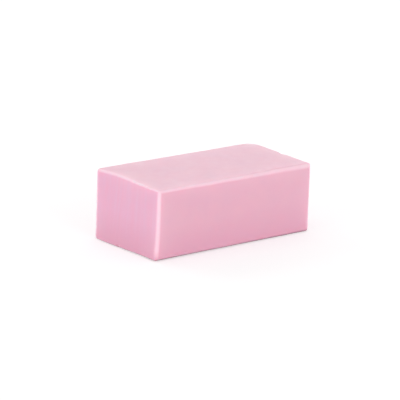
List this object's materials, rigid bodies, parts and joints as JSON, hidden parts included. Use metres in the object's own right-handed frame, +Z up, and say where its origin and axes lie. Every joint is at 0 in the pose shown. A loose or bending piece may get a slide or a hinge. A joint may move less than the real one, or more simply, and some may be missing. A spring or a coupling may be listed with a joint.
{
  "type": "bar of soap",
  "caption": "Hand-cut rectangular bar of opaque pink soap, one solid block with softened edges and a flat base to rest on.",
  "frame": {"origin": "middle of the base face that the bar lies on", "axes": "+X along the bar from one cut end to the other, +Y across it, +Z up from the base face to the top face"},
  "size_m": [0.082, 0.04, 0.029],
  "materials": {
    "soap": "smooth, waxy satin, slightly translucent"
  },
  "bodies": {
    "root": {"soap_bar": "soap"}
  },
  "joints": []
}
